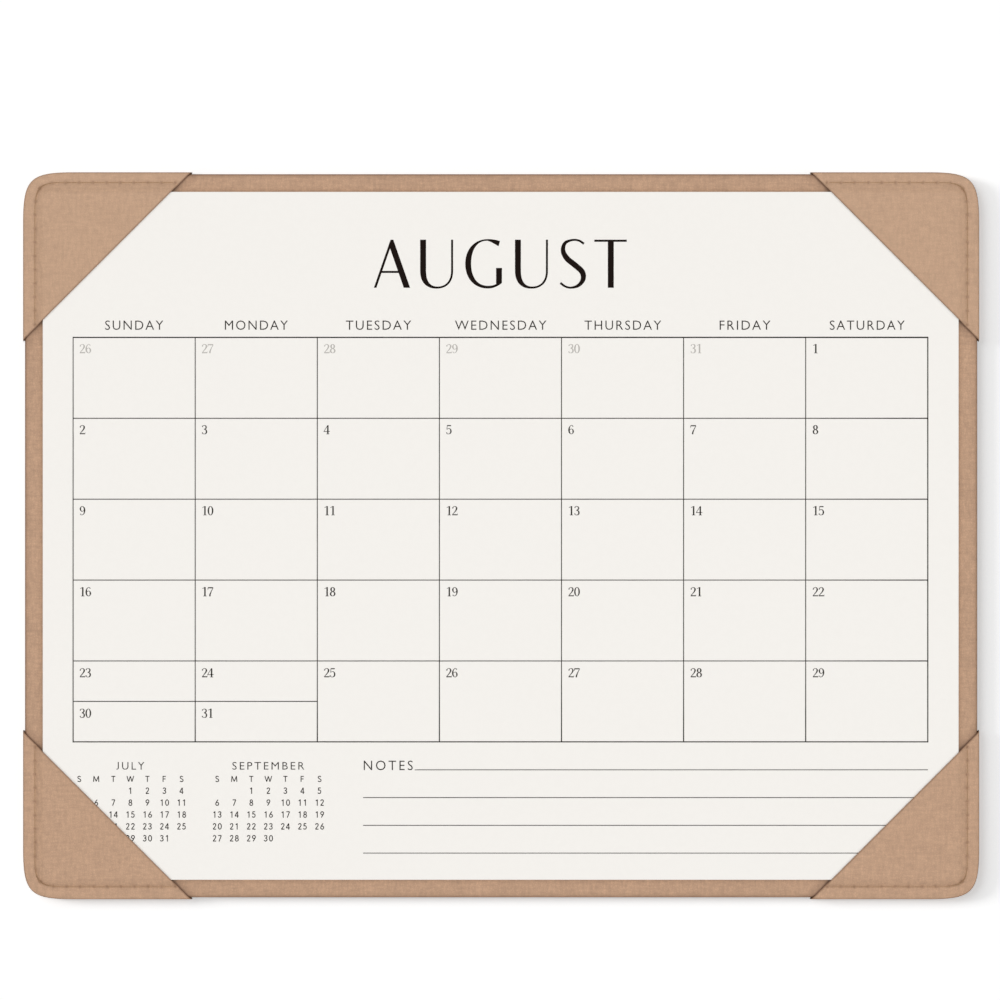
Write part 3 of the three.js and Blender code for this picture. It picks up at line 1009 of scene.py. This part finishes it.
def make_lines():
    """The printed lines of the frame, spread by the paper: its right and bottom ones the most."""
    for node in ["month_grid"] + [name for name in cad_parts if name.startswith("note_rule")]:
        gain = LINE_GAIN if node == "month_grid" else RULE_GAIN
        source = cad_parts[node]
        bm = bmesh.new()
        bm.from_mesh(source.data)
        bm.transform(source.matrix_world)
        bmesh.ops.remove_doubles(bm, verts=bm.verts[:], dist=1e-6)
        bm.normal_update()
        for vert in bm.verts:
            sides = [face.normal for face in vert.link_faces if abs(face.normal.z) < 0.5]
            gain_x = max((normal.x for normal in sides), key=abs, default=0)
            gain_y = max((normal.y for normal in sides), key=abs, default=0)
            on_border = node == "month_grid" and (vert.co.x > grid_high.x - 2 * GRID_LINE
                                                  or vert.co.y < grid_low.y + 2 * GRID_LINE)
            spread_by = BORDER_GAIN if on_border else gain
            vert.co += PRINT_SHIFT + Vector((gain_x, gain_y, 0)) * spread_by
        ink_piece(f"printed_{node}", bm, line_ink, node)


# The month's heading in cap heights: thick and thin letters with no serifs, each with the place
# of its left side in mm from the middle of the grid
HEADING_HEIGHT = 21.3 * MM
HEADING_ABOVE_GRID = 22.0 * MM
HEADING = [("A", -56.05), ("U", -35.57), ("G", -15.6), ("U", 6.45), ("S", 26.3), ("T", 41.6)]
HEADING_OUTLINES = {
    "A": [[(-0.002, 0), (0.346, 1), (0.402, 1), (0.752, 0), (0.62, 0), (0.335, 0.82), (0.051, 0)],
          [(0.14, 0.308), (0.53, 0.308), (0.53, 0.351), (0.14, 0.351)]],
    "U": [[(0, 1), (0, 0.35), (0, 0.11, 0.13, -0.018, 0.34, -0.018),
           (0.55, -0.018, 0.685, 0.11, 0.685, 0.35), (0.685, 1), (0.643, 1), (0.643, 0.35),
           (0.643, 0.14, 0.53, 0.025, 0.36, 0.025), (0.2, 0.025, 0.122, 0.14, 0.122, 0.35),
           (0.122, 1)]],
    "G": [[(0.724, 0.971), (0.64, 1.0, 0.56, 1.012, 0.468, 1.012), (0.19, 1.012, 0, 0.8, 0, 0.5),
           (0, 0.19, 0.19, -0.015, 0.47, -0.015), (0.58, -0.015, 0.68, 0.03, 0.762, 0.1),
           (0.764, 0.412), (0.642, 0.412), (0.642, 0.078), (0.59, 0.048, 0.53, 0.04, 0.47, 0.04),
           (0.25, 0.04, 0.122, 0.22, 0.122, 0.5), (0.122, 0.8, 0.25, 0.978, 0.45, 0.978),
           (0.5, 0.978, 0.6, 0.92, 0.69, 0.863)]],
    "T": [[(0, 0.956), (0.281, 0.956), (0.281, 0), (0.404, 0), (0.404, 0.956), (0.675, 0.956),
           (0.675, 1), (0, 1)]],
}
HEADING_STROKES = {
    "S": [(0.502, 0.915, 0.047), (0.4, 0.98, 0.043), (0.26, 0.993, 0.043), (0.11, 0.93, 0.068),
          (0.068, 0.77, 0.095), (0.15, 0.61, 0.115), (0.33, 0.46, 0.118), (0.465, 0.33, 0.115),
          (0.485, 0.18, 0.1), (0.39, 0.05, 0.068), (0.24, 0.003, 0.043), (0.12, 0.025, 0.043),
          (0.012, 0.1, 0.048)],
}


def make_heading():
    bm = bmesh.new()
    for letter, left in HEADING:
        place = np.array((left * MM + PRINT_SHIFT.x, GRID_TOP + HEADING_ABOVE_GRID))
        for i, shape in enumerate(HEADING_OUTLINES.get(letter, [])):
            add_outline(bm, outline(shape), place, HEADING_HEIGHT, ink_level(i))
        if letter in HEADING_STROKES:
            add_stroke(bm, spline(HEADING_STROKES[letter]), False, place, HEADING_HEIGHT, ink_level(0))
    ink_piece("month_heading", bm, black_ink)


# Strokes of the date numerals, in their own height: upright, thick and thin, with fine serifs
STEM = 0.155
HAIR = 0.055
DATE_DIGITS = {
    "0": [("oval", 0.32, 0.5, 0.235, 0.475)],
    "1": [[(0.36, 1, STEM), (0.36, 0, STEM)], [(0.18, 0.027, HAIR), (0.54, 0.027, HAIR)],
          [(0.36, 0.97, HAIR), (0.08, 0.84, HAIR)]],
    "2": [[(0.08, 0.74, 0.13), (0.12, 0.87, 0.08), (0.3, 0.97, HAIR), (0.48, 0.88, 0.12),
           (0.51, 0.7, STEM), (0.38, 0.45, 0.1), (0.08, 0.1, 0.06)],
          [(0.04, 0.055, 0.11), (0.6, 0.055, 0.11)], [(0.6, 0.03, 0.04), (0.62, 0.2, 0.03)]],
    "3": [[(0.08, 0.8, 0.13), (0.14, 0.92, 0.07), (0.3, 0.97, HAIR), (0.47, 0.88, 0.12),
           (0.47, 0.67, 0.13), (0.26, 0.53, HAIR)],
          [(0.26, 0.53, HAIR), (0.46, 0.47, 0.11), (0.53, 0.27, STEM), (0.45, 0.08, 0.11),
           (0.27, 0.025, HAIR), (0.12, 0.07, 0.07), (0.07, 0.2, 0.13)]],
    "4": [[(0.43, 0.98, HAIR), (0.02, 0.32, HAIR)], [(-0.02, 0.29, 0.065), (0.66, 0.29, 0.065)],
          [(0.44, 0.98, STEM), (0.44, 0, STEM)], [(0.28, 0.027, HAIR), (0.6, 0.027, HAIR)]],
    "5": [[(0.12, 0.94, 0.11), (0.55, 0.94, 0.11)], [(0.13, 0.95, HAIR), (0.1, 0.52, HAIR)],
          [(0.1, 0.54, HAIR), (0.28, 0.63, HAIR), (0.48, 0.54, 0.11), (0.54, 0.31, STEM),
           (0.46, 0.1, 0.11), (0.27, 0.025, HAIR), (0.12, 0.07, 0.07), (0.06, 0.2, 0.13)]],
    "6": [[(0.53, 0.84, 0.11), (0.46, 0.94, 0.06), (0.35, 0.97, HAIR), (0.17, 0.82, 0.09),
           (0.09, 0.5, STEM), (0.14, 0.2, 0.13), (0.33, 0.025, HAIR), (0.51, 0.14, 0.1),
           (0.55, 0.31, STEM), (0.49, 0.5, 0.1), (0.33, 0.58, HAIR), (0.14, 0.44, HAIR)]],
    "7": [[(0.04, 0.93, 0.12), (0.61, 0.93, 0.12)], [(0.6, 0.9, HAIR), (0.4, 0.52, 0.09),
          (0.27, 0.2, 0.14), (0.25, 0, STEM)], [(0.05, 0.94, HAIR), (0.03, 0.72, HAIR)]],
    "8": [("oval", 0.32, 0.75, 0.18, 0.22), ("oval", 0.32, 0.265, 0.225, 0.235)],
    "9": [[(0.1, 0.16, 0.11), (0.17, 0.06, 0.06), (0.29, 0.03, HAIR), (0.48, 0.18, 0.09),
           (0.56, 0.5, STEM), (0.51, 0.8, 0.13), (0.32, 0.97, HAIR), (0.14, 0.86, 0.1),
           (0.1, 0.69, STEM), (0.16, 0.5, 0.1), (0.32, 0.42, HAIR), (0.51, 0.56, HAIR)]],
}

# Strokes of the small months' digits and of the weekdays' initials: one even width
SMALL_DIGITS = {
    "0": [("oval", 0.32, 0.5, 0.24, 0.44)],
    "1": [[(0.14, 0.76), (0.37, 0.95)], [(0.37, 1), (0.37, 0)]],
    "2": [[(0.1, 0.74), (0.16, 0.88), (0.32, 0.94), (0.48, 0.86), (0.5, 0.7), (0.4, 0.48), (0.09, 0.07)],
          [(0.07, 0.06), (0.57, 0.06)]],
    "3": [[(0.1, 0.8), (0.18, 0.91), (0.32, 0.94), (0.47, 0.86), (0.48, 0.69), (0.37, 0.56), (0.24, 0.53)],
          [(0.24, 0.53), (0.43, 0.47), (0.52, 0.29), (0.44, 0.12), (0.29, 0.06), (0.14, 0.1),
           (0.07, 0.23)]],
    "4": [[(0.43, 0.98), (0.04, 0.3)], [(0.02, 0.27), (0.6, 0.27)], [(0.44, 0.97), (0.44, 0)]],
    "5": [[(0.5, 0.94), (0.15, 0.94)], [(0.17, 0.96), (0.13, 0.53)],
          [(0.12, 0.55), (0.28, 0.61), (0.45, 0.53), (0.51, 0.32), (0.43, 0.12), (0.27, 0.06),
           (0.13, 0.1), (0.06, 0.21)]],
    "6": [("oval", 0.32, 0.3, 0.23, 0.24), [(0.46, 0.97), (0.27, 0.7), (0.11, 0.38)]],
    "7": [[(0.06, 0.94), (0.58, 0.94)], [(0.55, 0.92), (0.2, 0)]],
    "8": [("oval", 0.32, 0.73, 0.18, 0.21), ("oval", 0.32, 0.28, 0.23, 0.23)],
    "9": [("oval", 0.32, 0.7, 0.23, 0.24), [(0.53, 0.62), (0.37, 0.3), (0.18, 0.03)]],
}
SMALL_LETTERS = {
    "S": [[(0.58, 0.84), (0.45, 0.94), (0.3, 0.95), (0.15, 0.87), (0.13, 0.7), (0.27, 0.56), (0.46, 0.46),
           (0.59, 0.32), (0.57, 0.14), (0.41, 0.05), (0.24, 0.05), (0.08, 0.16)]],
    "M": [[(0.05, 0), (0.12, 1)], [(0.12, 0.97), (0.5, 0.08)], [(0.5, 0.08), (0.88, 0.97)],
          [(0.88, 1), (0.95, 0)]],
    "T": [[(0, 0.94), (0.7, 0.94)], [(0.35, 0.94), (0.35, 0)]],
    "W": [[(0.02, 1), (0.32, 0.04)], [(0.32, 0.04), (0.6, 0.96)], [(0.6, 0.96), (0.88, 0.04)],
          [(0.88, 0.04), (1.18, 1)]],
    "F": [[(0.07, 0), (0.07, 1)], [(0.07, 0.94), (0.55, 0.94)], [(0.07, 0.5), (0.5, 0.5)]],
}
DATE_HEIGHT = 4.05 * MM
DATE_ADVANCE = 2.62 * MM
DATE_LEFT = 2.82 * MM
DATE_BASELINE = 7.0 * MM


def add_number(bm, number, x, y, digits, height, advance, pen=None):
    """A number whose first digit starts at x; a pen gives every stroke that one width."""
    for digit in str(number):
        for i, stroke in enumerate(digits[digit]):
            closed = stroke[0] == "oval"
            if closed:
                line = oval(*stroke[1:], pen or STEM, pen or HAIR)
            else:
                line = spline([(*point[:2], pen or point[2]) for point in stroke])
            add_stroke(bm, line, closed, np.array((x, y)), height, ink_level(i))
        x += advance


DAYS_BEFORE = 6
DAYS_IN_MONTH = 31
LAST_DAY_BEFORE = 31


def make_dates():
    """The month's dates, and in pale ink those of the month before in its first week."""
    dates, before = bmesh.new(), bmesh.new()
    for cell in range(DAYS_BEFORE + DAYS_IN_MONTH):
        day = cell - DAYS_BEFORE + 1
        column, row = cell % COLUMNS, cell // COLUMNS
        drop = min(row, ROWS - 1) * ROW_HEIGHT + (ROW_HEIGHT / 2 if row >= ROWS else 0)
        x = GRID_LEFT + column * COLUMN_WIDTH + DATE_LEFT
        y = GRID_TOP - drop - DATE_BASELINE
        number, target = (day, dates) if day > 0 else (LAST_DAY_BEFORE + day, before)
        add_number(target, number, x, y, DATE_DIGITS, DATE_HEIGHT, DATE_ADVANCE)
    ink_piece("date_numbers", dates, text_ink)
    ink_piece("date_numbers_before", before, pale_ink)


WORD_THINNING = 0.006


def word_mesh(text, tracking=1.0):
    """A word in the plain built-in sans, a little thinned."""
    data = bpy.data.curves.new("word", "FONT")
    data.body = text
    data.size = 1.0
    data.space_character = tracking
    data.resolution_u = 3
    data.offset = -WORD_THINNING
    data.extrude = 0.5
    source = bpy.data.objects.new("word", data)
    bpy.context.scene.collection.objects.link(source)
    bpy.context.view_layer.update()
    graph = bpy.context.evaluated_depsgraph_get()
    mesh = bpy.data.meshes.new_from_object(source.evaluated_get(graph))
    bpy.data.objects.remove(source)
    return mesh


CAPITAL = vertex_rows(word_mesh("H"))[0]
CAP_FOOT = CAPITAL[:, 1].min()
CAP_HEIGHT = CAPITAL[:, 1].max() - CAP_FOOT


def add_word(bm, text, x, y, height, tracking, width):
    """A word whose middle is at x and whose foot is at y, its capitals height tall. A J that comes
    first is stretched to the height of the others."""
    mesh = word_mesh(text, tracking)
    co = vertex_rows(mesh)[0]
    if text.startswith("J"):
        hook = co[:, 0] < vertex_rows(word_mesh("J"))[0][:, 0].max() + 0.01
        foot = co[hook, 1].min()
        co[hook, 1] = CAP_FOOT + (co[hook, 1] - foot) * CAP_HEIGHT / (co[hook, 1].max() - foot)
    low, high = co[:, 0].min(), co[:, 0].max()
    scale = height / CAP_HEIGHT
    stretch = width / (high - low)
    co[:, 0] = x + (co[:, 0] - (low + high) / 2) * stretch
    co[:, 1] = y + (co[:, 1] - CAP_FOOT) * scale
    co[:, 2] = PAD_TOP + np.where(co[:, 2] > 0, INK, 0)
    mesh.vertices.foreach_set("co", co.ravel())
    bm.from_mesh(mesh)
    bpy.data.meshes.remove(mesh)


def finish_words(name, bm, ink):
    bmesh.ops.remove_doubles(bm, verts=bm.verts[:], dist=1e-6)
    ink_piece(name, bm, ink)


# The names of the weekdays, with their widths in mm
WEEKDAYS = {"SUNDAY": 25.8, "MONDAY": 27.9, "TUESDAY": 29.0, "WEDNESDAY": 40.5, "THURSDAY": 34.0,
            "FRIDAY": 22.5, "SATURDAY": 33.2}
WEEKDAY_HEIGHT = 4.05 * MM
WEEKDAY_ABOVE_GRID = 3.4 * MM


def make_weekdays():
    bm = bmesh.new()
    for column, (word, width) in enumerate(WEEKDAYS.items()):
        x = GRID_LEFT + (column + 0.5) * COLUMN_WIDTH
        add_word(bm, word, x, GRID_TOP + WEEKDAY_ABOVE_GRID, WEEKDAY_HEIGHT, 1.2, width * MM)
    finish_words("weekday_names", bm, text_ink)


SMALL_COLUMN = 7.56 * MM
SMALL_ROW = 5.27 * MM
SMALL_HEIGHT = 2.8 * MM
SMALL_ADVANCE = 2.3 * MM
SMALL_DIGIT_WIDTH = 1.75 * MM
SMALL_PEN = 0.14
SMALL_INITIAL = 2.6 * MM
INITIAL_PEN = 0.145
SMALL_TITLE = 3.3 * MM
SMALL_TITLE_DROP = 12.28 * MM
SMALL_INITIAL_DROP = 17.73 * MM
SMALL_FIRST_ROW_DROP = 23.05 * MM
# Each small month's name, the width of its name, its middle from the grid's left side, the column
# of its first day and the number of its days
SMALL_MONTHS = [
    ("JULY", 12.4 * MM, 25.35 * MM, 3, 31),
    ("SEPTEMBER", 31.9 * MM, 86.5 * MM, 2, 30),
]
MIDDLE_COLUMN = COLUMNS // 2


def add_initial(bm, letter, x, y):
    """A weekday's first letter, whose middle is at x."""
    strokes = SMALL_LETTERS[letter]
    across = [point[0] for stroke in strokes for point in stroke]
    left = x - (min(across) + max(across)) / 2 * SMALL_INITIAL
    for i, stroke in enumerate(strokes):
        line = spline([(*point, INITIAL_PEN) for point in stroke])
        add_stroke(bm, line, False, np.array((left, y)), SMALL_INITIAL, ink_level(i))


def make_small_months():
    bm = bmesh.new()
    digits = bmesh.new()
    for title, width, centre, first, days in SMALL_MONTHS:
        middle = GRID_LEFT + centre
        add_word(bm, title, middle, GRID_BOTTOM - SMALL_TITLE_DROP, SMALL_TITLE, 1.3, width)
        for column, weekday in enumerate(WEEKDAYS):
            x = middle + (column - MIDDLE_COLUMN) * SMALL_COLUMN
            add_initial(digits, weekday[0], x, GRID_BOTTOM - SMALL_INITIAL_DROP)
        for day in range(1, days + 1):
            cell = first + day - 1
            width = SMALL_DIGIT_WIDTH + (len(str(day)) - 1) * SMALL_ADVANCE
            x = middle + (cell % COLUMNS - MIDDLE_COLUMN) * SMALL_COLUMN - width / 2
            y = GRID_BOTTOM - SMALL_FIRST_ROW_DROP - cell // COLUMNS * SMALL_ROW
            add_number(digits, day, x, y, SMALL_DIGITS, SMALL_HEIGHT, SMALL_ADVANCE, SMALL_PEN)
    finish_words("small_month_names", bm, text_ink)
    ink_piece("small_month_numbers", digits, text_ink)


NOTES_HEIGHT = 4.15 * MM
NOTES_WIDTH = 21.7 * MM
NOTES_LEFT = 128.8 * MM


def make_notes_label():
    bm = bmesh.new()
    x = GRID_LEFT + NOTES_LEFT + NOTES_WIDTH / 2
    add_word(bm, "NOTES", x, FIRST_RULE + PRINT_SHIFT.y, NOTES_HEIGHT, 1.3, NOTES_WIDTH)
    finish_words("notes_label", bm, text_ink)


# The studio

VIEW_CENTRE = Vector((-0.5 * MM, 15.87 * MM, 0))
VIEW_WIDTH = 443.1 * MM
LENS = 200.0
SENSOR = 36.0


def make_camera():
    data = bpy.data.cameras.new("camera")
    data.lens = LENS
    data.sensor_width = SENSOR
    data.clip_end = 50
    camera = bpy.data.objects.new("camera", data)
    bpy.context.scene.collection.objects.link(camera)
    camera.location = (VIEW_CENTRE.x, VIEW_CENTRE.y, PAD_TOP + VIEW_WIDTH * LENS / SENSOR)
    bpy.context.scene.camera = camera


WORLD_LIGHT = 0.2
FLOOR_WHITE = 1.02
FLOOR_HALF_WIDTH = 4.0
FLOOR_GAP = 0.02 * MM

# Soft lamps: name, direction, height and width in degrees, and share of full light
KEYS = [("low_softbox", 162, 42, 50, 0.09), ("high_softbox", 160, 65, 70, 0.11)]
FLOOR_KEYS = [("floor_softbox_high", 151, 44, 43, 0.2), ("floor_softbox_low", 168, 21, 17, 0.175)]


def add_sun(name, azimuth, elevation, width, share):
    """A soft lamp that gives a level white face its share of full light."""
    data = bpy.data.lights.new(name, "SUN")
    data.energy = share * math.pi / math.sin(math.radians(elevation))
    data.angle = math.radians(width)
    lamp = bpy.data.objects.new(name, data)
    a, e = math.radians(azimuth), math.radians(elevation)
    towards = Vector((math.cos(a) * math.cos(e), math.sin(a) * math.cos(e), math.sin(e)))
    lamp.rotation_euler = towards.to_track_quat("Z", "Y").to_euler()
    bpy.context.scene.collection.objects.link(lamp)
    return lamp


def make_light(floor):
    """Softboxes on all four sides, as in a light tent, that spare the floor, a world that fills,
    and softboxes on one side for the floor alone, so that the shadow falls to the other."""
    spared = bpy.data.collections.new("spared_floor")
    spared.objects.link(floor)
    spared.collection_objects[0].light_linking.link_state = "EXCLUDE"
    for name, azimuth, elevation, width, share in KEYS:
        for turn in (0, 90, 180, 270):
            lamp = add_sun(f"{name}_{turn}", azimuth + turn, elevation, width, share)
            lamp.light_linking.receiver_collection = spared
    floor_only = bpy.data.collections.new("floor_only")
    floor_only.objects.link(floor)
    for key in FLOOR_KEYS:
        add_sun(*key).light_linking.receiver_collection = floor_only
    world = bpy.data.worlds.new("studio")
    world.use_nodes = True
    tree = world.node_tree
    tree.nodes.clear()
    path = add(tree, "ShaderNodeLightPath").outputs
    strength = add(tree, "ShaderNodeMapRange", {
        "Value": path["Is Camera Ray"],
        "To Min": WORLD_LIGHT,
        "To Max": 1.0,
    })
    fill = add(tree, "ShaderNodeBackground", {
        "Color": linear("#FFFFFF"),
        "Strength": strength.outputs[0],
    })
    add(tree, "ShaderNodeOutputWorld", {"Surface": fill.outputs[0]})
    bpy.context.scene.world = world


def make_floor():
    """A plain white floor, lifted to full white where nothing shades it."""
    mesh = bpy.data.meshes.new("floor")
    z = cad_low.z - FLOOR_GAP
    corners = [(x * FLOOR_HALF_WIDTH, y * FLOOR_HALF_WIDTH, z) for x, y in CORNERS.values()]
    mesh.from_pydata(corners, [], [(0, 1, 2, 3)])
    material = bpy.data.materials.new("matt_white_floor")
    material.use_nodes = True
    tree = material.node_tree
    tree.nodes.clear()
    matt = add(tree, "ShaderNodeBsdfDiffuse", {"Color": linear("#FFFFFF")})
    path = add(tree, "ShaderNodeLightPath").outputs
    missing = FLOOR_WHITE - WORLD_LIGHT - sum(share for *_, share in FLOOR_KEYS)
    lift = add(tree, "ShaderNodeMath", {0: path["Is Camera Ray"], 1: missing}, operation="MULTIPLY")
    glow = add(tree, "ShaderNodeEmission", {"Color": linear("#FFFFFF"), "Strength": lift.outputs[0]})
    both = add(tree, "ShaderNodeAddShader", {0: matt.outputs[0], 1: glow.outputs[0]})
    add(tree, "ShaderNodeOutputMaterial", {"Surface": both.outputs[0]})
    floor = new_piece("floor", mesh, [material])
    return floor


make_camera()
make_light(make_floor())

dress("core_board", greyboard)
dress("back_lining", lining)

make_cover()
make_pad()
make_pockets()
make_threads()
make_lines()
make_heading()
make_weekdays()
make_dates()
make_small_months()
make_notes_label()

scene = bpy.context.scene
scene.view_settings.view_transform = "Standard"
